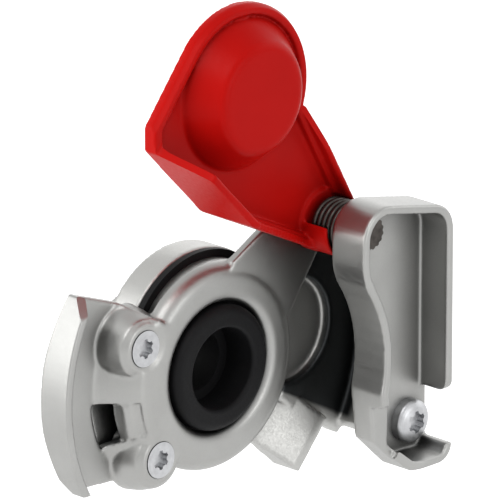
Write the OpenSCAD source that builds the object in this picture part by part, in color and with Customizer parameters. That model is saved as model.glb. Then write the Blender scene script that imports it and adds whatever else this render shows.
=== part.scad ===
// Palm coupling head for a vehicle's air brake line, with a swivelling dust cover.
// Every piece is drawn in the face frame: x to the right, y up and z out of the sealing face,
// with z = 0 at the rim of the seal opening. place() stands that frame upright, so the face
// looks along -Y, and puts the mouth of the rear port at the origin.

/* [Seal] */
// Diameter of the seal opening in the claw plate
opening_d = 35.6; // [34:0.2:38]
// Diameter of the air passage through the seal
seal_bore_d = 22.6; // [18:0.2:25]
// How far the seal's lip stands in front of the opening's rim
seal_proud = 2.3; // [1.6:0.1:2.6]
// Depth of the seal behind the opening's rim
seal_depth = 10.5; // [10:0.1:11.5]
// Diameter of the passage through the step at the seal's foot
seal_step_d = 17; // [14:0.2:17.4]
// Thickness of that step
seal_step_t = 2.5; // [1.5:0.1:3]
// Length of the sleeve behind the step
sleeve_l = 7; // [5:0.5:9]
// Width of the seal's collar under the claw plate
seal_collar = 3.2; // [2:0.2:4]

/* [Claw plate] */
// Sheet thickness of the claw plate
plate_t = 2.6; // [2:0.1:3]
// Width of the pressed ring round the opening
ring_w = 11.2; // [10.8:0.1:12]
// Height of the ring's crown over the opening's rim
crown_z = 1.2; // [1.1:0.1:1.6]
// Height of the flat pads and of the hinge arm over the opening's rim
pad_z = 0.8; // [0.5:0.1:0.9]
// Bend radius of the curl round the opening
rim_bend = 3.2; // [3:0.1:3.6]
// Depth of the ring's turned-down edge below the crown
skirt_h = 5; // [4:0.5:6]
// Distance of the claw screws' circle outside the ring's edge
screw_out = 1.2; // [0.8:0.1:1.6]
// Angle of the upper claw screw
upper_screw_a = 156.4; // [154:0.2:160]
// Angle of the lower claw screw
lower_screw_a = 222.6; // [218:0.2:226]
// Radius of the pads round the claw screws
pad_r = 7.2; // [6.8:0.1:8]
// Distance inside the ring's edge at which the plate starts to step down to the track
step_in = 0.6; // [0:0.1:1]
// Steepness of the step
step_a = 48; // [42:1:60]
// Drop from the opening's rim to the track
track_drop = 8; // [7:0.5:9]
// Distance of the claw's lip outside the ring's edge
claw_reach = 22.8; // [21:0.2:24]
// Height of the lip over the track
lip_h = 6; // [4:0.5:7]
// Depth of the lip's back edge behind the opening's rim
lip_back = 12; // [11.4:0.1:13]
// Angle of the lip's upper end
claw_from = 147.5; // [145:0.5:150]
// Angle of the lip's lower end
claw_to = 207; // [203:0.5:210]
// Angle of the detent nose
nose_a = 194.7; // [192:0.1:197]
// Length of the detent nose along the step
nose_l = 8.7; // [7:0.1:10]
// Width of the detent nose across the track
nose_w = 7.2; // [6:0.1:8]

/* [Body casting] */
// Distance from the port's mouth to the opening's rim
port_reach = 34; // [32:0.5:40]
// Minor diameter of the M16 x 1.5 port thread
port_minor_d = 14.38; // [14.3:0.02:14.5]
// Depth of the port thread
port_depth = 13; // [11:0.5:14]
// Diameter of the boss round the port
port_boss_d = 28; // [24:0.5:32]
// Width of the rear flange's land beside the neck
flange_rim = 2.5; // [2:0.1:3.5]
// Thickness of the rear flange
flange_t = 8.9; // [7:0.1:10]
// Offset of the flange to the right of the seal's axis
flange_dx = 1.4; // [0.8:0.1:1.8]
// Offset of the flange above the seal's axis
flange_dy = 2.9; // [2:0.1:3.2]
// Width of the step between the ring's edge and the neck in front of the flange
neck_in = 3.6; // [3.4:0.1:4]
// Depth of the flange's front face behind the opening's rim
flange_depth = 9.3; // [9:0.1:10]
// Thickness of the rubber gasket on the flange
gasket_t = 1.9; // [1.5:0.1:2.4]
// Room in the slot outside the lip of a mating claw
slot_gap = 0.8; // [0.4:0.1:1.6]
// Thickness of the arm outside the slot
arm_t = 5.2; // [4:0.1:6]
// Thickness of the web that carries the arm
web_t = 5.2; // [4.5:0.1:5.4]
// Angle of the ramp lug
ramp_a = -41; // [-44:0.5:-38]
// Width of the ramp lug
ramp_w = 17; // [14:0.5:19]
// Length of the ramp lug outside the ring
ramp_l = 16.5; // [14:0.5:18]
// Height of the ramp's top over the opening's rim
ramp_z = 1.6; // [0.5:0.1:2]

/* [Hook bracket] */
// Sheet thickness of the hook bracket
hook_t = 2.4; // [2:0.1:2.6]
// Height of the bracket's back over the opening's rim
hook_z = 16; // [15.5:0.1:17]
// Depth of the bracket's walls from its back to their front edge
hook_h = 12.4; // [10:0.1:14]
// Outer radius of the roll round the hinge pin
roll_r = 8.8; // [8.4:0.1:9.2]
// Radius of the bracket's inner wall about the seal's axis
hook_r = 35.4; // [35:0.1:36.5]
// Right side of the bracket
hook_right = 61.4; // [60:0.1:63]
// Underside of the bracket
hook_bottom = -34.5; // [-36:0.1:-33]
// Slope of the bracket's top wall
hook_slope = 12; // [8:0.5:16]
// Radius of the bracket's upper corner
hook_corner_r = 8; // [6:0.1:9]
// Height of the lower wall beside the screw
land_h = 7.4; // [6:0.1:9]

/* [Hinge] */
// Distance of the hinge pin to the right of the seal's axis
hinge_x = 35.5; // [35:0.1:36]
// Distance of the hinge pin above the seal's axis
hinge_y = 34.4; // [34:0.1:35]
// Diameter of the hinge pin
pin_d = 8; // [7:0.1:8.4]
// Diameter of the knurled head of the pin
pin_head_d = 9.4; // [9:0.1:9.8]
// Wire diameter of the cover spring
wire_d = 1.5; // [1.2:0.1:1.7]
// Number of turns in the cover spring
spring_turns = 5; // [4:1:5]

/* [Cover] */
// Wall thickness of the cover
cover_t = 1.8; // [1.4:0.1:2.2]
// Gap between the cover's back and the seal's lip
cover_gap = 0.4; // [0.3:0.1:0.8]
// Distance of the open cover's dome to the right of the seal's axis
dome_x = 3.2; // [2.4:0.1:5]
// Distance of the open cover's dome above the seal's axis
dome_y = 76.9; // [76:0.1:77.4]
// Radius of the rim round the dome
rim_r = 24.4; // [24:0.1:25]
// Radius of the dome at its foot
dome_r = 20.8; // [20:0.1:21]
// Radius of the dome's flat top
dome_top_r = 13; // [12:0.1:15]
// Height of the dome
dome_h = 9.6; // [8:0.1:10]
// Height of the rim over the cover's back
rim_h = 4.2; // [3.4:0.1:5]
// Width of the rim
rim_w = 3; // [2:0.1:3.2]
// Left end of the finger lever
lever_x = -29.9; // [-32:0.1:-29]
// Height of the lever's lower corner
lever_y = 67.8; // [66.5:0.1:68.5]
// Height of the lever wall over the cover's back
lever_h = 20.5; // [16:0.5:22]
// Height of the side wall over the cover's back
side_h = 7.4; // [5:0.1:9]
// Height of the barrel's front over the opening's rim
barrel_z = 5.4; // [5:0.1:6]
// Height of the lower wall at the barrel, over the opening's rim
wall_end_z = 8; // [7:0.1:9]

/* [Screws] */
// Head diameter of the claw screws
csk_d = 10; // [9.4:0.1:10.4]
// Thread diameter of the claw screws
csk_thread = 5; // [4.5:0.1:5.4]
// Length of the claw screws
csk_l = 12; // [9:0.5:13]
// Head diameter of the bracket screw
pan_d = 12; // [11:0.1:12.6]
// Thread diameter of the bracket screw
pan_thread = 6; // [5.4:0.1:6.2]
// Head height of the bracket screw
pan_h = 4; // [3:0.1:5]
// Length of the bracket screw under its head
pan_l = 16; // [12:0.5:20]

/* [Clearances] */
// Radial clearance of pins and screws in their holes
run_gap = 0.06; // [0.02:0.01:0.1]
// Gap between parts that pass each other
pass_gap = 0.4; // [0.3:0.05:0.6]

/* [Hidden] */

$fn = 96;
arc_steps = 10;
rim_steps = 36;
eps = 0.01;
far = 200;

hinge = [hinge_x, hinge_y];
dome = [dome_x, dome_y];
flange_at = [flange_dx, flange_dy];
opening_r = opening_d / 2;
ring_r = opening_r + ring_w;
screw_circle_r = ring_r + screw_out;
track_r = ring_r - step_in;
lip_r = ring_r + claw_reach;
slot_r = lip_r + plate_t + slot_gap;
neck_d = 2 * (ring_r - neck_in);
flange_d = neck_d + 2 * flange_rim;
sleeve_r = seal_step_d / 2 + 2;
seat_z = pad_z - plate_t;
groove_z = crown_z - skirt_h - pass_gap;
web_back = seat_z - web_t;
flange_back = -flange_depth - flange_t;
pin_r = pin_d / 2;
pin_foot_z = web_back - 3;
clip_t = 1.2;
clip_depth = 0.7;
cover_back = seal_proud + cover_gap;
plate_front = hook_z + hook_t;
screw_inset = 7.4;
screw_rise = 10.8;
pan_at = [hook_right - screw_inset, hook_bottom + screw_rise];
collar_r = opening_r + seal_collar;
curl_tilt = plate_t * sin(45 / arc_steps);
collar_z = crown_z - rim_bend - curl_tilt - run_gap;
boss_r = csk_thread / 2 + 3;
backing_t = 3.4;
spring_r = pin_r + 1.6 + wire_d / 2;
spring_from = barrel_z + pass_gap + wire_d / 2;
spring_to = hook_z - pass_gap - wire_d / 2;
spring_sides = 8;
turn_steps = 20;

// Points along a circle, from one angle to another
function arc(c, r, from, to, n = arc_steps) =
  [for (i = [0:n]) let (a = from + (to - from) * i / n) c + r * [cos(a), sin(a)]];

// Direction at an angle
function dir(a) = [cos(a), sin(a)];

// An open path moved sideways, to the right of the way it runs
function beside(path, d) =
  [for (i = [0:len(path) - 1])
    let (v = path[min(i + 1, len(path) - 1)] - path[max(i - 1, 0)])
    path[i] + d * [v[1], -v[0]] / norm(v)];

function reversed(path) = [for (i = [len(path) - 1:-1:0]) path[i]];

// The closed section of a sheet whose front follows a path
function sheet(path, t) = concat(path, reversed(beside(path, t)));

// A clockwise outline moved inwards by d, its corners mitred
function inset(pts, d) =
  [for (i = [0:len(pts) - 1])
    let (
      n = len(pts),
      u = pts[i] - pts[(i + n - 1) % n],
      v = pts[(i + 1) % n] - pts[i],
      p = [u[1], -u[0]] / norm(u),
      q = [v[1], -v[0]] / norm(v)
    )
    pts[i] + d * (p + q) / (1 + p * q)];

// Where two lines meet, each given by a point and a direction
function meet(p, u, q, v) =
  p + u * ((q - p)[0] * v[1] - (q - p)[1] * v[0]) / (u[0] * v[1] - u[1] * v[0]);

// Angle at a circle's centre c of the point where a line from p touches it, p outside
function touch_angle(p, c, r, side) =
  (atan2(p[1] - c[1], p[0] - c[0]) + side * acos(r / norm(p - c)) + 720) % 360;

// Stands the face frame upright, with the port's mouth at the origin
module place() {
  translate([0, -port_reach, 0]) rotate([90, 0, 0]) children();
}

module at(p, z) {
  translate([p[0], p[1], z]) children();
}

// A section swept about the seal's axis between two angles
module sweep(from, to) {
  rotate([0, 0, from]) rotate_extrude(angle = to - from) children();
}

// Six-lobed driver recess
module star_recess(r, depth) {
  linear_extrude(depth) difference() {
    circle(r);
    for (k = [0:5]) translate(r * 1.12 * dir(60 * k)) circle(r * 0.36);
  }
}

// Body casting

module web_and_arm() {
  arm_r = slot_r + arm_t;
  arm_from = -27;
  arm_to = 30;
  arm_foot = web_back - 0.6;
  pan_boss_r = pan_thread / 2 + 4;
  web_from = -33;
  web_to = 38;
  rib_w = 5;
  rib_h = 4;
  rib_in = ring_r + 5;
  // Web, with the boss for the hinge pin at its upper end
  translate([0, 0, web_back]) linear_extrude(web_t) {
    difference() {
      intersection() {
        circle(slot_r + arm_t / 2);
        polygon([[0, 0], far * dir(web_from), far * dir(0), far * dir(web_to)]);
      }
      circle(neck_d / 2 - 2);
    }
    translate(hinge) circle(roll_r);
  }
  // Arm round the slot, with the boss for the bracket's screw at its lower end
  translate([0, 0, arm_foot]) linear_extrude(hook_z - arm_foot) difference() {
    union() {
      intersection() {
        circle(arm_r);
        polygon([[0, 0], far * dir(arm_from), far * dir(0), far * dir(arm_to)]);
      }
      translate(pan_at) circle(pan_boss_r);
    }
    circle(slot_r);
  }
  // Ribs under the web
  for (a = [-20, 30]) rotate([0, 0, a])
    translate([rib_in, -rib_w / 2, web_back - rib_h]) cube([slot_r - rib_in, rib_w, rib_h + eps]);
}

module ramp_lug() {
  inner = ring_r + 1;
  outer = inner + ramp_l;
  crest_w = 3;
  root_w = 6;
  foot_z = web_back - 1;
  section = [
    [inner - 4, web_back + 0.8], [inner + root_w, foot_z], [outer, foot_z], [outer, ramp_z],
    [outer - crest_w, ramp_z], [inner, groove_z]
  ];
  rotate([0, 0, ramp_a]) translate([0, ramp_w / 2, 0]) rotate([90, 0, 0])
    linear_extrude(ramp_w) polygon(section);
}

// Bosses for the claw screws, and the backing between them
module screw_bosses() {
  backing_front = track_drop + plate_t + pass_gap;
  backing_back = backing_front + backing_t;
  boss_back = backing_back + 0.6;
  overrun = 4;
  inner = neck_d / 2 - overrun;
  outer = track_r + nose_w + 2;
  for (a = [upper_screw_a, lower_screw_a])
    at(screw_circle_r * dir(a), -boss_back) cylinder(r = boss_r, h = boss_back + seat_z);
  sweep(upper_screw_a - overrun, lower_screw_a + overrun)
    translate([inner, -backing_back]) square([outer - inner, backing_t]);
}

module body_casting() {
  passage_r = port_minor_d / 2 + 0.6;
  boss_flare = 6;
  overrun = 1;
  shoulder = 1.5;
  floor_drop = 3;
  pocket = [opening_r + 12, flange_dy];
  pocket_r = 14.8;
  color("gainsboro") place() difference() {
    union() {
      at(flange_at, flange_back) cylinder(d = flange_d, h = flange_t);
      at(flange_at, -flange_depth - overrun)
        cylinder(d = neck_d, h = flange_depth + overrun + groove_z + 0.5);
      translate([0, 0, groove_z - overrun])
        cylinder(r = neck_d / 2 + shoulder, h = seat_z - groove_z + overrun);
      rotate_extrude() polygon([
        [0, -port_reach], [port_boss_d / 2, -port_reach], [port_boss_d / 2, flange_back - boss_flare],
        [port_boss_d / 2 + boss_flare, flange_back + overrun], [0, flange_back + overrun]
      ]);
      screw_bosses();
      web_and_arm();
      ramp_lug();
    }
    // Groove for the turned-down edge of the ring
    translate([0, 0, groove_z]) difference() {
      cylinder(r = ring_r + pass_gap, h = far);
      cylinder(d = neck_d, h = far);
    }
    // Shallow round pocket in the slot's floor
    at(pocket, seat_z - floor_drop) cylinder(r = pocket_r, h = far);
    // Seal pocket, air passage and port
    translate([0, 0, -seal_depth]) cylinder(r = collar_r + run_gap, h = far);
    translate([0, 0, -seal_depth - sleeve_l]) cylinder(r = sleeve_r + run_gap, h = far);
    cylinder(r = passage_r, h = 2 * (port_reach - port_depth), center = true);
    translate([0, 0, -port_reach - eps]) cylinder(d = port_minor_d, h = port_depth + 2 * eps);
    // Screw and pin holes
    for (a = [upper_screw_a, lower_screw_a])
      at(screw_circle_r * dir(a), pad_z - csk_l - overrun)
        cylinder(d = csk_thread + 2 * run_gap, h = far);
    at(pan_at, plate_front - pan_l - overrun) cylinder(d = pan_thread + 2 * run_gap, h = far);
    at(hinge, -far) cylinder(r = pin_r + run_gap, h = 2 * far);
  }
}

module flange_gasket() {
  gasket_in = 0.6;
  color("black") place() at(flange_at, -flange_depth) difference() {
    cylinder(d = flange_d - gasket_in, h = gasket_t);
    translate([0, 0, -1]) cylinder(d = neck_d + 2 * run_gap, h = gasket_t + 2);
    for (a = [upper_screw_a, lower_screw_a])
      at(screw_circle_r * dir(a) - flange_at, -1) cylinder(r = boss_r + pass_gap, h = gasket_t + 2);
  }
}

// Claw plate

// Section of the ring: a curl round the opening, the crown and a turned-down outer edge
module ring_section() {
  bend = 4.6;
  path = concat(
    arc([opening_r + rim_bend, crown_z - rim_bend], rim_bend, 180, 90),
    arc([ring_r - bend, crown_z - bend], bend, 90, 0),
    [[ring_r, crown_z - skirt_h]]
  );
  polygon(sheet(path, plate_t));
}

// Section of the claw: step, track and lip
module claw_section() {
  over = plate_t + 0.5;
  under = 2.4;
  bend = 2.2;
  brow = [track_r, crown_z - over] + over * dir(90 - step_a);
  foot_z = under - track_drop + under * sin(270 - step_a);
  foot_x = brow[0] + (brow[1] - foot_z) / tan(step_a) + under * cos(90 - step_a);
  floor_end = [lip_r - bend, -track_drop];
  lip_top = lip_h - track_drop;
  front = concat(
    [[track_r - 3, crown_z]],
    arc([track_r, crown_z - over], over, 90, 90 - step_a),
    arc([foot_x, under - track_drop], under, 270 - step_a, 270),
    [floor_end]
  );
  lip = concat(
    arc(floor_end + [0, bend], bend, 279, 360),
    [[lip_r, lip_top], [lip_r + plate_t, lip_top], [lip_r + plate_t, -lip_back], [lip_r, -lip_back]]
  );
  polygon(concat(front, lip, reversed(beside(front, plate_t))));
}

// Edges of the claw, straight from the lip's ends to beside the screws
module claw_zone() {
  root_r = 0.8 * ring_r;
  edge_r = screw_circle_r + pad_r;
  out_r = lip_r + plate_t + 1;
  upper_root_a = upper_screw_a - 18;
  upper_edge_a = upper_screw_a - 15;
  lower_edge_a = lower_screw_a + 3;
  lower_root_a = lower_screw_a + 16;
  middle_a = (claw_from + claw_to) / 2;
  translate([0, 0, -far / 2]) linear_extrude(far) polygon([
    [0, 0], root_r * dir(upper_root_a), edge_r * dir(upper_edge_a), out_r * dir(claw_from),
    2 * out_r * dir(middle_a), out_r * dir(claw_to), edge_r * dir(lower_edge_a),
    root_r * dir(lower_root_a)
  ]);
}

// Drawn pads round the claw screws, their sides sloping down to the track outside the ring
module screw_pads() {
  side = 3.2;
  brow = 0.8;
  hole_r = boss_r + pass_gap;
  foot_z = -track_drop - plate_t / 2;
  section = [
    [hole_r, foot_z], [pad_r + side, foot_z], [pad_r + side * 0.75, -track_drop * 0.6],
    [pad_r + brow, pad_z - 1.2], [hole_r, pad_z - 0.2]
  ];
  gasket_room_z = gasket_t + pass_gap - flange_depth;
  for (a = [upper_screw_a, lower_screw_a]) {
    at(screw_circle_r * dir(a), seat_z) cylinder(r = pad_r - brow / 2, h = plate_t);
    difference() {
      at(screw_circle_r * dir(a), 0) rotate_extrude() polygon(section);
      // Room for the ring, and for the flange's gasket under it
      translate([0, 0, -far / 2]) cylinder(r = ring_r - 0.5, h = far);
      translate([0, 0, gasket_room_z - far]) cylinder(r = ring_r + 2, h = far);
    }
  }
}

// Flat arm from the ring to the hinge pin
module hinge_arm() {
  shoulder = [hinge_x - 20.5, hinge_y - 0.3];
  root_r = 0.8 * ring_r;
  upper_a = 80;
  lower_a = 19;
  top_a = touch_angle(shoulder, hinge, roll_r, -1);
  end_a = -62;
  outline = concat(
    [root_r * dir(upper_a + 4), ring_r * dir(upper_a), shoulder],
    arc(hinge, roll_r, top_a, end_a),
    [ring_r * dir(lower_a), root_r * dir(lower_a)]
  );
  translate([0, 0, seat_z]) linear_extrude(plate_t) polygon(outline);
}

// Nose lanced from the step, free at its outer end
module detent_nose() {
  root = track_r - 2;
  bend = 2.2;
  fall = 1;
  tip_z = -6.2;
  nose_t = plate_t * 0.6;
  end_x = root + nose_w;
  half = asin(nose_l / 2 / track_r);
  path = concat(
    [[root, 0.1]],
    arc([end_x - bend, -fall - bend], bend, 80, 8),
    [[end_x + 0.3, tip_z]]
  );
  sweep(nose_a - half, nose_a + half) polygon(sheet(path, nose_t));
}

module claw_plate() {
  sweep_from = upper_screw_a - 20;
  sweep_to = lower_screw_a + 18;
  window_w = nose_w + 2.6;
  half = asin((nose_l / 2 + 0.5) / track_r);
  arm_lap = 5;
  pad_room_r = pad_r - 0.8;
  hole_d = csk_thread + 4 * run_gap;
  cone_h = (csk_d - csk_thread) / 2;
  color("silver") place() difference() {
    union() {
      difference() {
        union() {
          rotate_extrude() ring_section();
          intersection() {
            sweep(sweep_from, sweep_to) claw_section();
            claw_zone();
          }
        }
        // Window under the nose
        sweep(nose_a - half, nose_a + half)
          translate([track_r + 1, -far / 2]) square([window_w, far]);
        // Room for the pads and for the bosses behind them
        for (a = [upper_screw_a, lower_screw_a])
          at(screw_circle_r * dir(a), -far / 2) cylinder(r = pad_room_r, h = far);
      }
      screw_pads();
      difference() {
        hinge_arm();
        translate([0, 0, -far / 2]) cylinder(r = ring_r - arm_lap, h = far);
      }
      detent_nose();
    }
    for (a = [upper_screw_a, lower_screw_a]) at(screw_circle_r * dir(a), 0) {
      translate([0, 0, -far / 2]) cylinder(d = hole_d, h = far);
      translate([0, 0, pad_z - cone_h])
        cylinder(d1 = hole_d, d2 = csk_d + 4 * run_gap, h = cone_h + eps);
    }
    at(hinge, -far / 2) cylinder(r = pin_r + run_gap, h = far);
  }
}

// Rubber face seal: collar under the plate, body in the opening and a lip in front of it
module face_seal() {
  bore_r = seal_bore_d / 2;
  step_r = seal_step_d / 2;
  foot_z = run_gap - seal_depth;
  lip_w = 2.4;
  inner_w = 1.2;
  body_r = opening_r - 0.4;
  section = concat(
    [[step_r, foot_z - sleeve_l], [sleeve_r, foot_z - sleeve_l], [sleeve_r, foot_z],
     [collar_r, foot_z], [collar_r, collar_z], [opening_r + lip_w, collar_z],
     [body_r, collar_z - 0.6], [body_r, 0]],
    arc([body_r - lip_w, seal_proud - lip_w], lip_w, 0, 90),
    arc([bore_r + inner_w, seal_proud - inner_w], inner_w, 90, 180),
    [[bore_r, foot_z + seal_step_t], [step_r, foot_z + seal_step_t]]
  );
  color("dimgray") place() rotate_extrude() polygon(section);
}

// Fasteners

// Countersunk screw, its head flush with z = 0
module csk_screw() {
  cone_h = (csk_d - csk_thread) / 2;
  recess_h = 1.6;
  difference() {
    union() {
      translate([0, 0, -cone_h]) cylinder(d1 = csk_thread, d2 = csk_d, h = cone_h);
      translate([0, 0, -csk_l]) cylinder(d = csk_thread, h = csk_l - cone_h + eps);
    }
    translate([0, 0, -recess_h]) star_recess(csk_d * 0.27, far);
  }
}

module claw_screw_upper() {
  color("lightgray") place() at(screw_circle_r * dir(upper_screw_a), pad_z) csk_screw();
}

module claw_screw_lower() {
  color("lightgray") place() at(screw_circle_r * dir(lower_screw_a), pad_z) csk_screw();
}

module bracket_screw() {
  dome_edge = pan_h * 0.45;
  recess_h = 2.2;
  head = concat([[0, 0], [pan_d / 2, 0], [pan_d / 2, dome_edge]],
    [for (i = [1:arc_steps]) let (a = 90 * i / arc_steps)
      [pan_d / 2 * cos(a), dome_edge + (pan_h - dome_edge) * sin(a)]]);
  color("lightgray") place() at(pan_at, plate_front) difference() {
    union() {
      rotate_extrude() polygon(head);
      translate([0, 0, -pan_l]) cylinder(d = pan_thread, h = pan_l + eps);
    }
    translate([0, 0, pan_h - recess_h]) star_recess(pan_d * 0.26, far);
  }
}

// Hook bracket

// Clockwise outline of the bracket, from the roll over the top and round to the inner wall
function hook_outline() =
  let (
    up = 90 - hook_slope,
    corner_x = hook_right - hook_corner_r,
    level = dir(up) * hinge + roll_r - hook_corner_r,
    corner = [corner_x, (level - cos(up) * corner_x) / sin(up)],
    left = hinge_x - roll_r,
    join_a = acos(left / hook_r),
    low_a = -16,
    toe = [hook_right - 15, hook_bottom],
    heel = [hook_r + 0.4, hook_bottom + 10]
  )
  concat(
    arc(hinge, roll_r, 180, up),
    arc(corner, hook_corner_r, up, 0),
    arc([hook_right - 5, hook_bottom + 5], 5, 0, -90),
    [toe, heel],
    arc([0, 0], hook_r, low_a, join_a)
  );

module hook_bracket() {
  outline = hook_outline();
  inner = inset(outline, hook_t);
  low_y = -15;
  color("silver") place() difference() {
    union() {
      translate([0, 0, hook_z]) linear_extrude(hook_t) polygon(outline);
      translate([0, 0, hook_z]) linear_extrude(hook_h) difference() {
        polygon(outline);
        polygon(inner);
      }
      // Thick land beside the screw
      translate([0, 0, hook_z]) linear_extrude(land_h) intersection() {
        polygon(outline);
        translate([hook_r - 6, hook_bottom + 6]) square([12, low_y - hook_bottom - 6]);
      }
    }
    // Open right side beside the screw
    translate([hook_right - hook_t - 2, hook_bottom + 5, plate_front])
      cube([far, low_y - hook_bottom - 5, far]);
    // Lower front edge on the left
    translate([0, hook_bottom + 4, hook_z + land_h]) cube([hook_r + 8, low_y - hook_bottom - 4, far]);
    at(pan_at, 0) cylinder(d = pan_thread + 4 * run_gap, h = far);
    at(pan_at, plate_front) cylinder(d = pan_d + 2 * pass_gap, h = far);
    at(hinge, 0) cylinder(d = pin_head_d + 2 * run_gap, h = far);
  }
}

// Hinge

module hinge_pin() {
  head_z = plate_front + 0.6;
  head_foot_z = hook_z - 0.2;
  knurls = 16;
  knurl_r = 0.7;
  knurl_at = pin_head_d / 2 + knurl_r / 2;
  color("gray") place() difference() {
    union() {
      at(hinge, pin_foot_z) cylinder(r = pin_r, h = head_z - pin_foot_z);
      at(hinge, head_foot_z) cylinder(d = pin_head_d, h = head_z - head_foot_z);
    }
    for (k = [0:knurls - 1])
      at(hinge + knurl_at * dir(360 * k / knurls), hook_z) cylinder(r = knurl_r, h = far, $fn = 16);
    at(hinge, web_back - clip_t - run_gap) difference() {
      cylinder(r = pin_r + 1, h = clip_t);
      cylinder(r = pin_r - clip_depth, h = clip_t);
    }
  }
}

// Retaining ring behind the web, open on one side
module pin_clip() {
  clip_r = pin_r + 2.2;
  mouth = pin_r * 1.2;
  color("gray") place() at(hinge, web_back - clip_t - run_gap / 2) difference() {
    cylinder(r = clip_r, h = clip_t - run_gap);
    translate([0, 0, -1]) cylinder(r = pin_r - clip_depth + run_gap, h = clip_t + 2);
    translate([0, -mouth / 2, -1]) cube([far, mouth, clip_t + 2]);
  }
}

// Torsion spring between the cover's barrel and the bracket
module cover_spring() {
  steps = spring_turns * turn_steps;
  rise = (spring_to - spring_from) / steps;
  rings = [for (i = [0:steps]) let (a = 360 * i / turn_steps, c = spring_from + rise * i)
    [for (k = [0:spring_sides - 1]) let (b = 360 * k / spring_sides)
      [(spring_r + wire_d / 2 * cos(b)) * cos(a), (spring_r + wire_d / 2 * cos(b)) * sin(a),
       c + wire_d / 2 * sin(b)]]];
  points = [for (ring = rings) for (p = ring) p];
  n = spring_sides;
  walls = [for (i = [0:steps - 1]) for (k = [0:n - 1])
    [i * n + k, (i + 1) * n + k, (i + 1) * n + (k + 1) % n, i * n + (k + 1) % n]];
  ends = [[for (k = [0:n - 1]) k], [for (k = [n - 1:-1:0]) steps * n + k]];
  color("dimgray") place() at(hinge, 0) polyhedron(points, concat(ends, walls));
}

// Dust cover

// Clockwise outline of the cover, from the lever's end over the rim to the barrel and back
function cover_outline() =
  let (
    top = [lever_x, lever_y + 6.7],
    low = [lever_x, lever_y],
    rim_a = touch_angle(top, dome, rim_r, -1),
    waist_a = -20,
    waist = dome + rim_r * dir(waist_a),
    hub_r = roll_r - 0.4,
    right_a = touch_angle(waist, hinge, hub_r, -1),
    under_a = -115.6,
    under = hinge + hub_r * dir(under_a),
    elbow = meet(low, dir(-46), under, dir(under_a - 90))
  )
  concat(
    [low, top],
    arc(dome, rim_r, rim_a, waist_a, rim_steps),
    arc(hinge, hub_r, right_a, under_a),
    [elbow]
  );

function cover_elbow() = let (o = cover_outline()) o[len(o) - 1];

// Band of width t inside the cover's outline
module cover_band(t) {
  difference() {
    polygon(cover_outline());
    polygon(inset(cover_outline(), t));
  }
}

// Heights of the lower wall's front edge: high at the lever, low under the bracket
module lower_wall_zone() {
  elbow = cover_elbow();
  run = hinge - elbow;
  length = norm(run);
  lever_l = 44;
  slope_l = 15;
  over = 9;
  end_h = wall_end_z - cover_back;
  limit = hook_z - pass_gap - cover_back - 0.6;
  profile = [
    [-lever_l, -1], [-lever_l, lever_h * 0.3], [slope_l - lever_l, lever_h], [2, lever_h],
    [length * 0.22, limit], [length * 0.8, end_h], [length + over, end_h], [length + over, -1]
  ];
  at(elbow, 0) rotate([0, 0, atan2(run[1], run[0])]) rotate([90, 0, 0])
    linear_extrude(2 * far, center = true) polygon(profile);
}

// Half section of the dome, with a bead at its foot and a round shoulder
module dome_section(r, top_r, h) {
  shoulder = 3.4;
  polygon(concat(
    [[0, -eps], [r, -eps], [r, 0.6], [r - 0.5, 1.6]],
    arc([top_r, h - shoulder], shoulder, 25, 90),
    [[0, h]]
  ));
}

module dust_cover() {
  elbow = cover_elbow();
  wall_t = cover_t + 0.2;
  barrel_foot_z = pad_z + pass_gap;
  spring_room_r = spring_r + wire_d / 2 + pass_gap;
  shroud_t = 1;
  lower_side = [
    [lever_x - 1, lever_y + 1.5], [lever_x + 4, lever_y + 3], elbow + [6, 8],
    hinge + [-4, 0], hinge + [0, -12], elbow + [-4, -8], [lever_x - 9, lever_y]
  ];
  right_side = [[rim_r - 4, -8], [rim_r + 20, -8], [rim_r + 20, -44], [rim_r - 4, -44]];
  color("red") place() difference() {
    union() {
      translate([0, 0, cover_back]) linear_extrude(cover_t) polygon(cover_outline());
      translate([0, 0, cover_back]) linear_extrude(rim_h) cover_band(rim_w);
      // Lever wall and lower wall
      translate([0, 0, cover_back]) intersection() {
        linear_extrude(lever_h) cover_band(wall_t);
        lower_wall_zone();
        linear_extrude(far) polygon(lower_side);
      }
      // Side wall between the rim and the barrel
      translate([0, 0, cover_back]) linear_extrude(side_h) intersection() {
        cover_band(cover_t);
        translate(dome) polygon(right_side);
      }
      at(dome, cover_back + cover_t) rotate_extrude() dome_section(dome_r, dome_top_r, dome_h);
      at(hinge, barrel_foot_z) cylinder(r = roll_r, h = barrel_z - barrel_foot_z);
      // Shroud over the lower half of the spring
      at(hinge, barrel_z - eps) sweep(170, 290)
        translate([roll_r - shroud_t - 0.2, 0]) square([shroud_t, hook_z - barrel_z - 2]);
    }
    // Hollow of the dome
    at(dome, cover_back - eps) rotate_extrude()
      dome_section(dome_r - cover_t, dome_top_r - cover_t * 0.6, dome_h);
    // Room for the pin and the spring
    at(hinge, -far / 2) cylinder(r = pin_r + run_gap, h = far);
    at(hinge, barrel_z) cylinder(r = spring_room_r, h = far);
  }
}

body_casting();
flange_gasket();
claw_plate();
face_seal();
claw_screw_upper();
claw_screw_lower();
hook_bracket();
bracket_screw();
hinge_pin();
pin_clip();
cover_spring();
dust_cover();
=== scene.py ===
"""Looks of a palm coupling head with a swivelling dust cover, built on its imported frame."""

import math

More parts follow.
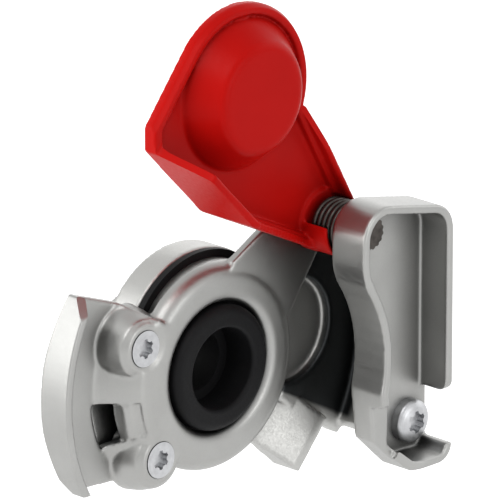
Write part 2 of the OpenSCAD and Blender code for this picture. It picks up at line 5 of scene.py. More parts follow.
import bmesh
import bpy
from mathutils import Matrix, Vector


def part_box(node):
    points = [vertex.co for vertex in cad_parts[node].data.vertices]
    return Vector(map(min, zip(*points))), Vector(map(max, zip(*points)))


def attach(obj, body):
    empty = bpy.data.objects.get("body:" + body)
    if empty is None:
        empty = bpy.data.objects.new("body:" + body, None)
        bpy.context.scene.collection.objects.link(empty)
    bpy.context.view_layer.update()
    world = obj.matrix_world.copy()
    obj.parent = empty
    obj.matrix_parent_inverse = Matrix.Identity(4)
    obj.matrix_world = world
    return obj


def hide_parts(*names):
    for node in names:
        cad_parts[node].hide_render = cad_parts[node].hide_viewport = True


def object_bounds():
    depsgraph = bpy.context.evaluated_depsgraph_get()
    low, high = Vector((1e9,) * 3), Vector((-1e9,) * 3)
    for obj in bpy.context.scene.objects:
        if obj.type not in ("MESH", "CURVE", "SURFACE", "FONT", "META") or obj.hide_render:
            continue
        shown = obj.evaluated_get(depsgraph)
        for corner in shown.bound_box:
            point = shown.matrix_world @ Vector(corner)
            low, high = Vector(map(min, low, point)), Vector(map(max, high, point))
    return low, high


bl_info = {
    "name": "Palm coupling looks",
    "version": (1, 0, 0),
    "blender": (4, 5, 0),
    "location": "3D View > Sidebar > Coupling",
    "description": "Rounds, finishes and lights the pieces of a palm coupling head",
    "category": "Object",
}

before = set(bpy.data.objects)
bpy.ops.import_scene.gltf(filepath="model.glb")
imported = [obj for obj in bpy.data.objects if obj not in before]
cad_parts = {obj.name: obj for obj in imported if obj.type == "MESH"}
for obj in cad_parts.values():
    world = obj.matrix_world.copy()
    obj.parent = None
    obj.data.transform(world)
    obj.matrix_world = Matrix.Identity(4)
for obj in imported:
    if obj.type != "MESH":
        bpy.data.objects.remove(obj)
CAD_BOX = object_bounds()
MM = 0.001
# From the rear port's mouth to the rim of the seal opening
PORT_REACH = 34.0 * MM
# Middle of the open cover's dome, right of and above the seal's axis
DOME = Vector((3.2, 76.9)) * MM
# Front of the cover's rim, and left end of its lever
RIM_FRONT, LEVER_X = 6.9 * MM, -29.9 * MM
# Largest gap that welding closes, and how far one smoothing pass moves a vertex
WELD_GAP, SMOOTH_SHARE = 2e-6, 0.5
# Part of a noise texture's range that is used
NOISE_SPAN = {"From Min": 0.3, "From Max": 0.7}
# Lamps: name, place from the part's middle, size (all in metres) and watts
LAMPS = (
    ("key", (-0.5, -0.4, 0.8), 0.5, 2.6),
    ("left", (-0.9, 0.5, 0.15), 1.3, 11.0),
    ("front", (0.18, -0.95, 0.12), 0.4, 1.2),
    ("rim", (0.7, 0.62, 0.3), 0.7, 1.2),
    ("side", (0.75, -0.25, 0.3), 0.6, 1.2),
)


def linear(code, alpha=1.0):
    """An sRGB hex colour as linear RGBA."""
    channels = [int(code[i : i + 2], 16) / 255 for i in (1, 3, 5)]
    light = [c / 12.92 if c <= 0.04045 else ((c + 0.055) / 1.055) ** 2.4 for c in channels]
    return (*light, alpha)


def per_mm(size):
    """Noise scale whose blotches are about this many millimetres wide."""
    return 1 / (size * MM)


def add(tree, kind, inputs=None, **settings):
    """Adds a node, sets it up and links or fills its inputs."""
    made = tree.nodes.new(kind)
    for name, value in settings.items():
        setattr(made, name, value)
    for name, value in (inputs or {}).items():
        socket = made.inputs[name]
        if isinstance(value, bpy.types.NodeSocket):
            tree.links.new(value, socket)
        else:
            socket.default_value = value
    return made


def start_material(name):
    """An empty node material, its tree and the Object coordinates of the piece."""
    material = bpy.data.materials.new(name)
    material.use_nodes = True
    tree = material.node_tree
    tree.nodes.clear()
    coords = add(tree, "ShaderNodeTexCoord").outputs["Object"]
    return material, tree, coords


def with_painted_corner_shade(tree, colour, reach, darkest):
    """A colour darkened with painted shade in inner corners, within a reach in mm."""
    shut, free = 0.15, 0.85
    open_sky = add(tree, "ShaderNodeAmbientOcclusion", {"Distance": reach * MM}, samples=8)
    level = add(
        tree,
        "ShaderNodeMapRange",
        {
            "Value": open_sky.outputs["AO"],
            "From Min": shut,
            "From Max": free,
            "To Min": darkest,
            "To Max": 1.0,
        },
    )
    shaded = add(
        tree,
        "ShaderNodeVectorMath",
        {0: colour, "Scale": level.outputs["Result"]},
        operation="SCALE",
    )
    return shaded.outputs["Vector"]


def end_material(tree, shader):
    """Joins the finished shader to the material's output."""
    add(tree, "ShaderNodeOutputMaterial", {"Surface": shader.outputs["BSDF"]})


# Materials


def slot_shade_mask(tree, coords):
    """1 on the floor of the coupling's slot, where painted shade darkens the casting, and 0
    elsewhere.
    """
    pocket_middle = (29.8 * MM, 2.9 * MM, 0.0)
    place = add(tree, "ShaderNodeSeparateXYZ", {"Vector": coords}).outputs
    across, up, depth = place["X"], place["Z"], place["Y"]
    flat = add(tree, "ShaderNodeCombineXYZ", {"X": across, "Y": up})
    radius = add(tree, "ShaderNodeVectorMath", {0: flat.outputs["Vector"]}, operation="LENGTH")
    turn = add(tree, "ShaderNodeMath", {0: up, 1: across}, operation="ARCTAN2")
    pocket = add(
        tree,
        "ShaderNodeVectorMath",
        {0: flat.outputs["Vector"], 1: pocket_middle},
        operation="DISTANCE",
    )
    factor = None
    # Where each measure lets the painted shade start, and where it is full
    for value, low, high in (
        (radius.outputs["Value"], 29.2 * MM, 29.8 * MM),
        (turn.outputs["Value"], math.radians(-29), math.radians(-27)),
        (turn.outputs["Value"], math.radians(58), math.radians(54)),
        (depth, -36.5 * MM, -34.5 * MM),
        (depth, -29.4 * MM, -30.4 * MM),
        (pocket.outputs["Value"], 14.4 * MM, 14.9 * MM),
        (radius.outputs["Value"], 56.6 * MM, 55.8 * MM),
    ):
        step = add(
            tree,
            "ShaderNodeMapRange",
            {"Value": value, "From Min": low, "From Max": high},
            interpolation_type="SMOOTHSTEP",
        ).outputs["Result"]
        if factor is None:
            factor = step
        else:
            both = add(tree, "ShaderNodeMath", {0: factor, 1: step}, operation="MULTIPLY")
            factor = both.outputs["Value"]
    return factor


def cast_aluminium(props):
    """Pressure-cast aluminium, shot-blasted: pale, softly sparkling, with a fine sandy grain, and
    with painted shade on the slot's floor and in inner corners.
    """
    material, tree, coords = start_material("cast_aluminium")
    cloud = add(tree, "ShaderNodeTexNoise", {"Vector": coords, "Scale": per_mm(9), "Detail": 4.0})
    grain = add(
        tree, "ShaderNodeTexNoise", {"Vector": coords, "Scale": per_mm(0.55), "Detail": 3.0}
    )
    pits = add(tree, "ShaderNodeTexVoronoi", {"Vector": coords, "Scale": per_mm(2.4)})
    bare = add(
        tree,
        "ShaderNodeMix",
        {
            "Factor": cloud.outputs["Fac"],
            "A": linear(props.aluminium_shade),
            "B": linear(props.aluminium_light),
        },
        data_type="RGBA",
    )
    # Painted shade: the slot's floor is darkened as if in shadow
    slot_shaded = add(
        tree,
        "ShaderNodeMix",
        {
            "Factor": slot_shade_mask(tree, coords),
            "A": bare.outputs["Result"],
            "B": linear(props.slot_painted_shade),
        },
        data_type="RGBA",
    )
    gloss = add(
        tree,
        "ShaderNodeMapRange",
        {**NOISE_SPAN, "Value": grain.outputs["Fac"], "To Min": 0.36, "To Max": 0.5},
    )
    sand = add(
        tree,
        "ShaderNodeBump",
        {"Height": grain.outputs["Fac"], "Strength": 0.2, "Distance": 0.1 * MM},
    )
    skin = add(
        tree,
        "ShaderNodeBump",
        {
            "Height": pits.outputs["Distance"],
            "Strength": 0.08,
            "Distance": 0.2 * MM,
            "Normal": sand.outputs["Normal"],
        },
    )
    # Painted shade darkens the casting's inner corners
    shader = add(
        tree,
        "ShaderNodeBsdfPrincipled",
        {
            "Base Color": with_painted_corner_shade(tree, slot_shaded.outputs["Result"], 11, 0.2),
            "Metallic": 1.0,
            "Roughness": gloss.outputs["Result"],
            "Normal": skin.outputs["Normal"],
        },
    )
    end_material(tree, shader)
    return material


def plated_steel(props):
    """Pressed sheet steel, zinc plated: satin grey, with cloudy plating and faint drawing marks."""
    material, tree, coords = start_material("plated_steel")
    cloud = add(tree, "ShaderNodeTexNoise", {"Vector": coords, "Scale": per_mm(11), "Detail": 3.0})
    grain = add(tree, "ShaderNodeTexNoise", {"Vector": coords, "Scale": per_mm(0.5), "Detail": 3.0})
    colour = add(
        tree,
        "ShaderNodeMix",
        {
            "Factor": cloud.outputs["Fac"],
            "A": linear(props.steel_shade),
            "B": linear(props.steel_light),
        },
        data_type="RGBA",
    )
    gloss = add(
        tree,
        "ShaderNodeMapRange",
        {**NOISE_SPAN, "Value": grain.outputs["Fac"], "To Min": 0.34, "To Max": 0.44},
    )
    skin = add(
        tree,
        "ShaderNodeBump",
        {"Height": grain.outputs["Fac"], "Strength": 0.08, "Distance": 0.06 * MM},
    )
    # Painted shade darkens the pressings' inner corners
    shader = add(
        tree,
        "ShaderNodeBsdfPrincipled",
        {
            "Base Color": with_painted_corner_shade(tree, colour.outputs["Result"], 13, 0.2),
            "Metallic": 1.0,
            "Roughness": gloss.outputs["Result"],
            "Normal": skin.outputs["Normal"],
        },
    )
    end_material(tree, shader)
    return material


def screw_steel(props):
    """Bright zinc plated screw steel: smoother and brighter than the pressings."""
    material, tree, coords = start_material("bright_zinc_steel")
    cloud = add(tree, "ShaderNodeTexNoise", {"Vector": coords, "Scale": per_mm(1.6), "Detail": 4.0})
    colour = add(
        tree,
        "ShaderNodeMix",
        {
            "Factor": cloud.outputs["Fac"],
            "A": linear(props.screw_shade),
            "B": linear(props.screw_light),
        },
        data_type="RGBA",
    )
    gloss = add(
        tree,
        "ShaderNodeMapRange",
        {**NOISE_SPAN, "Value": cloud.outputs["Fac"], "To Min": 0.32, "To Max": 0.42},
    )
    shader = add(
        tree,
        "ShaderNodeBsdfPrincipled",
        {
            "Base Color": colour.outputs["Result"],
            "Metallic": 1.0,
            "Roughness": gloss.outputs["Result"],
        },
    )
    end_material(tree, shader)
    return material


def dark_steel(props):
    """Oiled spring and pin steel: dark brown grey, dull, with lighter rubbed patches."""
    material, tree, coords = start_material("oiled_dark_steel")
    rub = add(tree, "ShaderNodeTexNoise", {"Vector": coords, "Scale": per_mm(1.8), "Detail": 4.0})
    colour = add(
        tree,
        "ShaderNodeMix",
        {
            "Factor": rub.outputs["Fac"],
            "A": linear(props.dark_shade),
            "B": linear(props.dark_light),
        },
        data_type="RGBA",
    )
    gloss = add(
        tree,
        "ShaderNodeMapRange",
        {**NOISE_SPAN, "Value": rub.outputs["Fac"], "To Min": 0.5, "To Max": 0.34},
    )
    shader = add(
        tree,
        "ShaderNodeBsdfPrincipled",
        {
            "Base Color": colour.outputs["Result"],
            "Metallic": 0.9,
            "Roughness": gloss.outputs["Result"],
        },
    )
    end_material(tree, shader)
    return material


def black_rubber(props):
    """Moulded nitrile rubber: near black, dull, with a fine mould texture and a little bloom."""
    material, tree, coords = start_material("black_rubber")
    bloom = add(tree, "ShaderNodeTexNoise", {"Vector": coords, "Scale": per_mm(6), "Detail": 3.0})
    grain = add(tree, "ShaderNodeTexNoise", {"Vector": coords, "Scale": per_mm(0.4), "Detail": 2.0})
    colour = add(
        tree,
        "ShaderNodeMix",
        {
            "Factor": bloom.outputs["Fac"],
            "A": linear(props.rubber_shade),
            "B": linear(props.rubber_light),
        },
        data_type="RGBA",
    )
    gloss = add(
        tree,
        "ShaderNodeMapRange",
        {**NOISE_SPAN, "Value": grain.outputs["Fac"], "To Min": 0.52, "To Max": 0.68},
    )
    skin = add(
        tree,
        "ShaderNodeBump",
        {"Height": grain.outputs["Fac"], "Strength": 0.12, "Distance": 0.06 * MM},
    )
    shader = add(
        tree,
        "ShaderNodeBsdfPrincipled",
        {
            "Base Color": colour.outputs["Result"],
            "Roughness": gloss.outputs["Result"],
            "Normal": skin.outputs["Normal"],
            "IOR": 1.52,
            "Specular IOR Level": 0.15,
        },
    )
    end_material(tree, shader)
    return material


def red_plastic(props):
    """Injection moulded polyamide, signal red: satin gloss with a slight orange peel."""
    material, tree, coords = start_material("red_polyamide")
    tone = add(tree, "ShaderNodeTexNoise", {"Vector": coords, "Scale": per_mm(14), "Detail": 2.0})
    peel = add(tree, "ShaderNodeTexNoise", {"Vector": coords, "Scale": per_mm(1.1), "Detail": 2.0})
    colour = add(
        tree,
        "ShaderNodeMix",
        {"Factor": tone.outputs["Fac"], "A": linear(props.red_shade), "B": linear(props.red_light)},
        data_type="RGBA",
    )
    gloss = add(
        tree,
        "ShaderNodeMapRange",
        {**NOISE_SPAN, "Value": peel.outputs["Fac"], "To Min": 0.3, "To Max": 0.4},
    )
    skin = add(
        tree,
        "ShaderNodeBump",
        {"Height": peel.outputs["Fac"], "Strength": 0.06, "Distance": 0.08 * MM},
    )
    # Painted shade darkens the cover's inner corners
    shader = add(
        tree,
        "ShaderNodeBsdfPrincipled",
        {
            "Base Color": with_painted_corner_shade(tree, colour.outputs["Result"], 12, 0.4),
            "Roughness": gloss.outputs["Result"],
            "Normal": skin.outputs["Normal"],
            "IOR": 1.5,
            "Specular IOR Level": 0.06,
        },
    )
    end_material(tree, shader)
    return material


def white_floor():
    """Matt white studio floor that shows white to the camera and keeps the part's shadow."""
    material, tree, _ = start_material("white_floor")
    path = add(tree, "ShaderNodeLightPath")
    mirrored = add(
        tree,
        "ShaderNodeMath",
        {0: path.outputs["Is Glossy Ray"], 1: path.outputs["Is Transmission Ray"]},
        operation="MAXIMUM",
    )
    seen = add(
        tree,
        "ShaderNodeMath",
        {0: path.outputs["Is Camera Ray"], 1: mirrored.outputs["Value"]},
        operation="MAXIMUM",
    )
    glow = add(tree, "ShaderNodeMapRange", {"Value": seen.outputs["Value"], "To Max": 0.55})
    shader = add(
        tree,
        "ShaderNodeBsdfPrincipled",
        {
            "Base Color": linear("#F2F2F2"),
            "Roughness": 0.9,
            "Specular IOR Level": 0.0,
            "Emission Color": linear("#FFFFFF"),
            "Emission Strength": glow.outputs["Result"],
        },
    )
    end_material(tree, shader)
    return material


FINISHES = {
    "cast_aluminium": cast_aluminium,
    "pressed_steel": plated_steel,
    "screw_steel": screw_steel,
    "dark_steel": dark_steel,
    "black_rubber": black_rubber,
    "red_plastic": red_plastic,
}


def finish(slot):
    """The material of a record slot, made once."""
    if slot not in finish.made:
        finish.made[slot] = FINISHES[slot](bpy.context.scene.coupling_finish)
    return finish.made[slot]


finish.made = {}


# Shapes


def settle(obj, mesh_name):
    """Turns an object with modifiers into a plain mesh at the origin."""
    bpy.context.view_layer.update()
    evaluated = obj.evaluated_get(bpy.context.evaluated_depsgraph_get())
    mesh = bpy.data.meshes.new_from_object(evaluated)
    mesh.name = mesh_name
    obj.modifiers.clear()
    obj.data = mesh
    return obj


def show(obj, body, slot, *nodes):
    """Paints a finished piece, puts it on its body and lets it stand for CAD nodes."""
    obj.data.materials.clear()
    obj.data.materials.append(finish(slot))
    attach(obj, body)
    if nodes:
        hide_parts(*nodes)


def welded_copy(node, name):
    """A new object with a welded copy of a CAD node's mesh."""
    mesh = bpy.data.meshes.new(name)
    bm = bmesh.new()
    bm.from_mesh(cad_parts[node].data)
    bmesh.ops.remove_doubles(bm, verts=bm.verts, dist=WELD_GAP)
    bm.to_mesh(mesh)
    bm.free()
    obj = bpy.data.objects.new(name, mesh)
    bpy.context.scene.collection.objects.link(obj)
    return obj


def smooth_over(obj, passes):
    """Adds a modifier that evens out a dense mesh, which rounds its edges."""
    smooth = obj.modifiers.new("relax", "SMOOTH")
    smooth.factor = SMOOTH_SHARE
    smooth.iterations = passes


def softened(node, name, voxel, passes):
    """A copy of a CAD node whose edges are rounded as casting, pressing or moulding leaves them."""
    obj = welded_copy(node, name)
    grid = obj.modifiers.new("grid", "REMESH")
    grid.mode = "VOXEL"
    grid.voxel_size = voxel
    grid.use_smooth_shade = True
    smooth_over(obj, passes)
    return settle(obj, name)


def relax(obj, passes):
    """Evens out a finished shape, so that its moved vertices run smoothly into the rest."""
    smooth_over(obj, passes)
    settle(obj, obj.data.name)


def out_of(vertex):
    """How far a vertex stands in front of the seal opening's rim."""
    return -vertex.co.y - PORT_REACH


def move_out(vertex, out):
    """Puts a vertex this far in front of the seal opening's rim."""
    vertex.co.y = -out - PORT_REACH


def clamp(value):
    """The value, kept between 0 and 1."""
    return min(max(value, 0), 1)


def taper_lip(obj):
    """Slants the claw lip's upper end, thins its back towards both ends and rounds the lower."""
    corner_r, lip_r = 47.0 * MM, 51.2 * MM
    upper_end, full_depth = Vector((28.6, -9.6)) * MM, Vector((9.0, -12.0)) * MM
    thinning = (upper_end.y - full_depth.y) / (upper_end.x - full_depth.x)
    lip_front, cut_from, cut_slope = -2.0 * MM, 24.0 * MM, 0.9
    lower_from, lower_thinning, track_back = -5.0 * MM, 0.158, -10.4 * MM
    round_from, round_slope = -21.5 * MM, 0.8
    for vertex in obj.data.vertices:
        across, up = vertex.co.x, vertex.co.z
        radius = math.hypot(across, up)
        if across > 0 or radius < corner_r:
            continue
        out = out_of(vertex)
        if up > full_depth.x:
            out = max(out, full_depth.y + thinning * (up - full_depth.x))
        elif up < lower_from:
            limit = full_depth.y + lower_thinning * (lower_from - up)
            if radius > lip_r:
                limit += round_slope * max(round_from - up, 0)
            else:
                limit = min(limit, track_back)
            out = max(out, limit)
        if radius > lip_r and up > cut_from:
            out = min(out, lip_front - cut_slope * (up - cut_from))
        move_out(vertex, out)


def round_hook(obj):
    """Blends the hook's roll into its inner wall, and rounds its foot and its right wall."""
    wall_r, wall_x, blend_r, reach = 35.4 * MM, 26.7 * MM, 16.0 * MM, 5.0 * MM
    blend_x = wall_x + blend_r
    blend = Vector((blend_x, math.sqrt((wall_r + blend_r) ** 2 - blend_x**2)))
    blend_low = wall_r / (wall_r + blend_r) * blend.y
    back, low_front, front = 16.0 * MM, 23.4 * MM, 28.4 * MM
    foot_top, heel, toe = -14.0 * MM, 38.0 * MM, 52.0 * MM
    right_wall, right_low = 57.0 * MM, -16.0 * MM
    corner, corner_r = Vector((-11.0, 24.4)) * MM, 4.0 * MM
    for vertex in obj.data.vertices:
        across, up = vertex.co.x, vertex.co.z
        out = out_of(vertex)
        if blend_low < up < blend.y:
            wall = max(wall_x, math.sqrt(max(wall_r**2 - up**2, 0)))
            curved = blend.x - math.sqrt(blend_r**2 - (up - blend.y) ** 2)
            fade = clamp((wall + reach - across) / (reach / 2))
            vertex.co.x += (curved - wall) * fade
        if out < back:
            continue
        if up < foot_top and across < right_wall:
            share = clamp((across - heel) / (toe - heel))
            share = share * share * (3 - 2 * share)
            out = min(out, low_front + (front - low_front) * share)
        from_corner = Vector((up, out)) - corner
        at_corner = across > right_wall and up > right_low and from_corner.x < 0 < from_corner.y
        if at_corner and from_corner.length > corner_r:
            up, out = corner + from_corner.normalized() * corner_r
        move_out(vertex, out)
        vertex.co.z = up


def bevel_rim(obj, width):
    """Slopes the outer side of the cover's rim, round the dome and along the straight edge."""
    rim_r, low_edge = 24.4 * MM, 5.2 * MM
    lever_top = Vector((LEVER_X, 74.5 * MM))
    right_end, front_slack, end_slack = -24, 0.5 * MM, 1 * MM
    reach = lever_top - DOME
    touch = math.atan2(reach.y, reach.x) - math.acos(rim_r / reach.length)
    inward = -Vector((math.cos(touch), math.sin(touch)))
    for vertex in obj.data.vertices:
        spot = Vector((vertex.co.x, vertex.co.z))
        out = out_of(vertex)
        share = clamp((out - low_edge) / (RIM_FRONT - low_edge))
        if share == 0 or out > RIM_FRONT + front_slack:
            continue
        cut = width * share
        from_dome = spot - DOME
        turn = math.degrees(math.atan2(from_dome.y, from_dome.x))
        if right_end < turn < math.degrees(touch) % 360 and from_dome.length > rim_r - cut:
            spot = DOME + from_dome.normalized() * (rim_r - cut)
        else:
            inside = (spot - lever_top).dot(inward)
            along = (spot - lever_top).dot(Vector((-inward.y, inward.x)))
            on_edge = abs(along) < reach.length and spot.y > lever_top.y - end_slack
            if inside < cut and on_edge:
                spot += inward * (cut - inside)
        vertex.co.x, vertex.co.z = spot


def slope_walls(obj):
    """Slopes the lever's outer end and the start of the cover's side wall at the rim."""
    lever_front, lever_run, lever_right = 23.2 * MM, 7.0 * MM, -14.0 * MM
    lever_low, wall_turn = Vector((LEVER_X, 67.8 * MM)), math.radians(-46)
    side_front, side_run, side_left, side_top = 10.1 * MM, 14.0 * MM, 20.0 * MM, 69.0 * MM
    dome_r = 21.2 * MM
    wall_way = Vector((math.cos(wall_turn), math.sin(wall_turn)))
    for vertex in obj.data.vertices:
        spot = Vector((vertex.co.x, vertex.co.z))
        if (spot - DOME).length < dome_r:
            continue
        if spot.x < lever_right:
            share, wall_front = (spot - lever_low).dot(wall_way) / lever_run, lever_front
        elif spot.x > side_left:
            share, wall_front = (side_top - spot.y) / side_run, side_front
        else:
            continue
        if share < 1:
            limit = RIM_FRONT + (wall_front - RIM_FRONT) * max(share, 0)
            move_out(vertex, min(out_of(vertex), limit))


def drawn_pin(name, length):
    """The hinge pin with its knurled head drawn out in front of the hook's back."""
    obj = welded_copy("hinge_pin", name)
    face_depth = 0.1 * MM
    head = min(vertex.co.y for vertex in obj.data.vertices)
    for vertex in obj.data.vertices:
        if vertex.co.y < head + face_depth:
            vertex.co.y -= length
    return obj


# Properties


class CouplingSizes(bpy.types.PropertyGroup):
    """Sizes that the looks add to the CAD pieces."""

    casting_grid: bpy.props.FloatProperty(
        name="Casting grid",
        description="Grid that rounds the casting's edges",
        default=0.62 * MM,
        unit="LENGTH",
    )
    pressing_grid: bpy.props.FloatProperty(
        name="Pressing grid",
        description="Grid that rounds the sheet edges",
        default=0.42 * MM,
        unit="LENGTH",
    )
    cover_grid: bpy.props.FloatProperty(
        name="Cover grid",
        description="Grid that rounds the moulded cover",
        default=0.46 * MM,
        unit="LENGTH",
    )
    rim_bevel: bpy.props.FloatProperty(
        name="Rim bevel",
        description="Width of the bevel on the cover's rim",
        default=1.0 * MM,
        unit="LENGTH",
    )
    pin_draw: bpy.props.FloatProperty(
        name="Pin head",
        description="How far the pin's head is drawn out",
        default=3.4 * MM,
        unit="LENGTH",
    )
    wire_d: bpy.props.FloatProperty(
        name="Wire",
        description="Wire diameter of the cover spring",
        default=1.5 * MM,
        unit="LENGTH",
    )
    spring_turns: bpy.props.FloatProperty(
        name="Turns", description="Turns of the cover spring", default=5.0
    )
    port_minor_r: bpy.props.FloatProperty(
        name="Port bore",
        description="Minor radius of the rear port",
        default=7.19 * MM,
        unit="LENGTH",
    )
    thread_pitch: bpy.props.FloatProperty(
        name="Port pitch",
        description="Pitch of the rear port's thread",
        default=1.5 * MM,
        unit="LENGTH",
    )


class CouplingFinish(bpy.types.PropertyGroup):
    """Colours of the finishes, as sRGB hex codes."""

    aluminium_light: bpy.props.StringProperty(
        name="Aluminium", description="Lighter tone of the casting", default="#BABAB7"
    )
    aluminium_shade: bpy.props.StringProperty(
        name="Aluminium shade", description="Darker tone of the casting", default="#AAAAA8"
    )
    steel_light: bpy.props.StringProperty(
        name="Steel", description="Lighter tone of the pressings", default="#A8A8A6"
    )
    steel_shade: bpy.props.StringProperty(
        name="Steel shade", description="Darker tone of the pressings", default="#9A9A98"
    )
    # Colour of the painted shade on the slot's floor
    slot_painted_shade: bpy.props.StringProperty(
        name="Slot shade", description="Painted shade on the slot's floor", default="#3A3C3D"
    )
    screw_light: bpy.props.StringProperty(
        name="Screws", description="Lighter tone of the screws", default="#C9CACC"
    )
    screw_shade: bpy.props.StringProperty(
        name="Screw shade", description="Darker tone of the screws", default="#9FA0A2"
    )
    dark_light: bpy.props.StringProperty(
        name="Rubbed steel", description="Lighter tone of the pin and spring", default="#58534F"
    )
    dark_shade: bpy.props.StringProperty(
        name="Dark steel", description="Darker tone of the pin and spring", default="#2E2B29"
    )
    rubber_light: bpy.props.StringProperty(
        name="Rubber bloom", description="Lighter tone of the rubber", default="#151517"
    )
    rubber_shade: bpy.props.StringProperty(
        name="Rubber", description="Darker tone of the rubber", default="#0B0B0C"
    )
    red_light: bpy.props.StringProperty(
        name="Red", description="Lighter tone of the cover", default="#CA1410"
    )
    red_shade: bpy.props.StringProperty(
        name="Red shade", description="Darker tone of the cover", default="#BE100C"
    )


# Operators


class COUPLING_OT_casting(bpy.types.Operator):
    """Makes the cast body with rounded edges"""

    bl_idname = "coupling.casting"
    bl_label = "Casting"

    def execute(self, context):
        sizes = context.scene.coupling_sizes
        body = softened("body_casting", "cast_body", sizes.casting_grid, 4)
        show(body, "coupling", "cast_aluminium", "body_casting")
        return {"FINISHED"}


class COUPLING_OT_pressings(bpy.types.Operator):
    """Makes the claw plate and the hook bracket with rolled sheet edges"""

    bl_idname = "coupling.pressings"
    bl_label = "Pressings"

    def execute(self, context):
        sizes = context.scene.coupling_sizes
        claw = softened("claw_plate", "pressed_claw", sizes.pressing_grid, 4)
        taper_lip(claw)
        relax(claw, 6)
        show(claw, "coupling", "pressed_steel", "claw_plate")
        hook = softened("hook_bracket", "pressed_hook", sizes.pressing_grid, 4)
        round_hook(hook)
        relax(hook, 6)
        show(hook, "coupling", "pressed_steel", "hook_bracket")
        return {"FINISHED"}


class COUPLING_OT_cover(bpy.types.Operator):
    """Makes the moulded dust cover with soft edges"""

    bl_idname = "coupling.cover"
    bl_label = "Dust cover"

    def execute(self, context):
        sizes = context.scene.coupling_sizes
        cover = softened("dust_cover", "moulded_cover", sizes.cover_grid, 2)
        bevel_rim(cover, sizes.rim_bevel)
        slope_walls(cover)
        relax(cover, 4)
        show(cover, "cover", "red_plastic", "dust_cover")
        return {"FINISHED"}


def spiral_tree(name):
    """Geometry Nodes that sweep a round or pointed section along a helix on the face's normal."""
    tree = bpy.data.node_groups.new(name, "GeometryNodeTree")
    for label, kind, default in (
        ("Radius", "NodeSocketFloat", 6 * MM),
        ("Height", "NodeSocketFloat", 6 * MM),
        ("Turns", "NodeSocketFloat", 4.0),
        ("Section Radius", "NodeSocketFloat", 0.75 * MM),
        ("Section Sides", "NodeSocketInt", 14),
        ("Place", "NodeSocketVector", (0.0, 0.0, 0.0)),
        ("Material", "NodeSocketMaterial", None),
    ):
        socket = tree.interface.new_socket(label, in_out="INPUT", socket_type=kind)
        if default is not None:
            socket.default_value = default
    tree.interface.new_socket("Geometry", in_out="OUTPUT", socket_type="NodeSocketGeometry")
    given = add(tree, "NodeGroupInput").outputs
    helix = add(
        tree,
        "GeometryNodeCurveSpiral",
        {
            "Resolution": 48,
            "Rotations": given["Turns"],
            "Start Radius": given["Radius"],
            "End Radius": given["Radius"],
            "Height": given["Height"],
        },
    )
    section = add(
        tree,
        "GeometryNodeCurvePrimitiveCircle",
        {"Resolution": given["Section Sides"], "Radius": given["Section Radius"]},
    )
    swept = add(
        tree,
        "GeometryNodeCurveToMesh",
        {
            "Curve": helix.outputs["Curve"],
            "Profile Curve": section.outputs["Curve"],
            "Fill Caps": True,
        },
    )
    stood = add(
        tree,
        "GeometryNodeTransform",
        {
            "Geometry": swept.outputs["Mesh"],
            "Translation": given["Place"],
            "Rotation": (math.pi / 2, 0.0, 0.0),
        },
    )
    whole = add(tree, "GeometryNodeRealizeInstances", {"Geometry": stood.outputs["Geometry"]})
    smooth = add(tree, "GeometryNodeSetShadeSmooth", {"Geometry": whole.outputs["Geometry"]})
    painted = add(
        tree,
        "GeometryNodeSetMaterial",
        {"Geometry": smooth.outputs["Geometry"], "Material": given["Material"]},
    )
    add(tree, "NodeGroupOutput", {"Geometry": painted.outputs["Geometry"]})
    return tree


def grown(name, tree, values):
    """A plain mesh object made by a Geometry Nodes tree with these named inputs."""
    obj = bpy.data.objects.new(name, bpy.data.meshes.new(name))
    bpy.context.scene.collection.objects.link(obj)
    nodes = obj.modifiers.new("nodes", "NODES")
    nodes.node_group = tree
    for item in tree.interface.items_tree:
        if item.in_out == "INPUT" and item.name in values:
            nodes[item.identifier] = values[item.name]
    return settle(obj, name)


class COUPLING_OT_spirals(bpy.types.Operator):
    """Winds the cover spring and cuts the look of a thread into the rear port"""

    bl_idname = "coupling.spirals"
    bl_label = "Spring and port thread"

    def execute(self, context):
        sizes = context.scene.coupling_sizes
        tree = spiral_tree("helix_sweep")
        low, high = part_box("cover_spring")
        radius = (high.x - low.x) / 2 - sizes.wire_d / 2
        spring = grown(
            "wound_spring",
            tree,
            {
                "Radius": radius,
                "Height": high.y - low.y - sizes.wire_d,
                "Turns": sizes.spring_turns,
                "Section Radius": sizes.wire_d / 2,
                "Section Sides": 14,
                "Place": ((low.x + high.x) / 2, high.y - sizes.wire_d / 2, (low.z + high.z) / 2),
                "Material": finish("dark_steel"),
            },
        )
        show(spring, "coupling", "dark_steel", "cover_spring")
        turns, ridge = 7, 0.32
        thread = grown(
            "port_thread",
            tree,
            {
                "Radius": sizes.port_minor_r,
                "Height": turns * sizes.thread_pitch,
                "Turns": float(turns),
                "Section Radius": sizes.thread_pitch * ridge,
                "Section Sides": 4,
                "Place": (0.0, -sizes.thread_pitch, 0.0),
                "Material": finish("cast_aluminium"),
            },
        )
        show(thread, "coupling", "cast_aluminium")
        return {"FINISHED"}


class COUPLING_OT_small_parts(bpy.types.Operator):
    """Finishes the seal, the gasket, the screws, the pin and its clip"""

    bl_idname = "coupling.small_parts"
    bl_label = "Seal, screws and pin"

    def execute(self, context):
        for node, slot in (
            ("face_seal", "black_rubber"),
            ("flange_gasket", "black_rubber"),
            ("claw_screw_upper", "screw_steel"),
            ("claw_screw_lower", "screw_steel"),
            ("bracket_screw", "screw_steel"),
            ("pin_clip", "dark_steel"),
        ):
            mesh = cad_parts[node].data
            mesh.materials.clear()
            mesh.materials.append(finish(slot))
        pin = drawn_pin("knurled_pin", context.scene.coupling_sizes.pin_draw)
        show(pin, "coupling", "dark_steel", "hinge_pin")
        return {"FINISHED"}


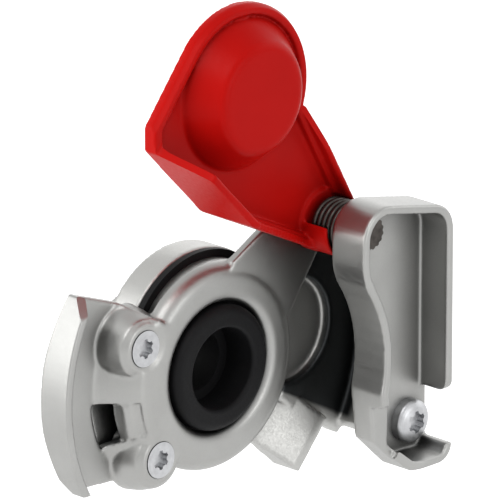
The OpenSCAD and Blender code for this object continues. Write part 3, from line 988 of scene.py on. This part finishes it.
class COUPLING_OT_stage(bpy.types.Operator):
    """Sets up the floor, the soft studio light and the camera"""

    bl_idname = "coupling.stage"
    bl_label = "Stage"

    def execute(self, context):
        scene = context.scene
        scene.view_settings.view_transform = "Standard"
        world = bpy.data.worlds.new("studio")
        scene.world = world
        world.use_nodes = True
        tree = world.node_tree
        tree.nodes.clear()
        path = add(tree, "ShaderNodeLightPath")
        seen = add(
            tree,
            "ShaderNodeMath",
            {0: path.outputs["Is Camera Ray"], 1: path.outputs["Is Transmission Ray"]},
            operation="MAXIMUM",
        )
        mirrored = add(
            tree,
            "ShaderNodeMath",
            {0: seen.outputs["Value"], 1: path.outputs["Is Glossy Ray"]},
            operation="MAXIMUM",
        )
        level = add(
            tree,
            "ShaderNodeMapRange",
            {"Value": mirrored.outputs["Value"], "To Min": 0.4, "To Max": 1.0},
        )
        back = add(
            tree,
            "ShaderNodeBackground",
            {"Color": linear("#FFFFFF"), "Strength": level.outputs["Result"]},
        )
        add(tree, "ShaderNodeOutputWorld", {"Surface": back.outputs["Background"]})

        half, drop = 3, 0.05
        corners = ((-1, -1), (1, -1), (1, 1), (-1, 1))
        ground = bpy.data.meshes.new("floor")
        ground.from_pydata(
            [(x * half, y * half, CAD_BOX[0].z - drop) for x, y in corners],
            [],
            [(0, 1, 2, 3)],
        )
        floor = bpy.data.objects.new("floor", ground)
        scene.collection.objects.link(floor)
        ground.materials.append(white_floor())

        middle = (CAD_BOX[0] + CAD_BOX[1]) / 2
        for name, offset, size, power in LAMPS:
            lamp = bpy.data.lights.new(name, "AREA")
            lamp.size = size
            lamp.energy = power
            obj = bpy.data.objects.new(name, lamp)
            scene.collection.objects.link(obj)
            obj.location = middle + Vector(offset)
            obj.rotation_euler = (-Vector(offset)).to_track_quat("-Z", "Y").to_euler()

        # Long lens at the photograph's viewing angle
        aim, distance = Vector((0.01298, -0.03318, 0.02970)), 2.074
        back_way = Vector((-0.676, -0.667, 0.3136)).normalized()
        camera = bpy.data.cameras.new("photo_camera")
        camera.sensor_width = 36.0
        camera.lens = 560.0
        camera.clip_end = 20.0
        eye = bpy.data.objects.new("photo_camera", camera)
        scene.collection.objects.link(eye)
        eye.location = aim + back_way * distance
        eye.rotation_euler = back_way.to_track_quat("Z", "Y").to_euler()
        scene.camera = eye
        return {"FINISHED"}


class COUPLING_PT_panel(bpy.types.Panel):
    """Shows the coupling's sizes, colours and operator buttons"""

    bl_label = "Coupling"
    bl_idname = "COUPLING_PT_panel"
    bl_space_type = "VIEW_3D"
    bl_region_type = "UI"
    bl_category = "Coupling"

    def draw(self, context):
        layout = self.layout
        for group in (context.scene.coupling_sizes, context.scene.coupling_finish):
            for name in group.bl_rna.properties.keys():
                if name not in ("rna_type", "name"):
                    layout.prop(group, name)
        for operator in OPERATORS:
            layout.operator(operator.bl_idname)


OPERATORS = (
    COUPLING_OT_stage,
    COUPLING_OT_casting,
    COUPLING_OT_pressings,
    COUPLING_OT_cover,
    COUPLING_OT_spirals,
    COUPLING_OT_small_parts,
)
CLASSES = (CouplingSizes, CouplingFinish, *OPERATORS, COUPLING_PT_panel)


def register():
    """Adds the classes and the scene's properties."""
    for cls in CLASSES:
        bpy.utils.register_class(cls)
    bpy.types.Scene.coupling_sizes = bpy.props.PointerProperty(type=CouplingSizes)
    bpy.types.Scene.coupling_finish = bpy.props.PointerProperty(type=CouplingFinish)


def unregister():
    """Takes away the scene's properties and the classes."""
    del bpy.types.Scene.coupling_finish
    del bpy.types.Scene.coupling_sizes
    for cls in reversed(CLASSES):
        bpy.utils.unregister_class(cls)


def main():
    """Builds the looks through the operators."""
    register()
    bpy.ops.coupling.stage()
    bpy.ops.coupling.casting()
    bpy.ops.coupling.pressings()
    bpy.ops.coupling.cover()
    bpy.ops.coupling.spirals()
    bpy.ops.coupling.small_parts()


if __name__ == "__main__":
    main()
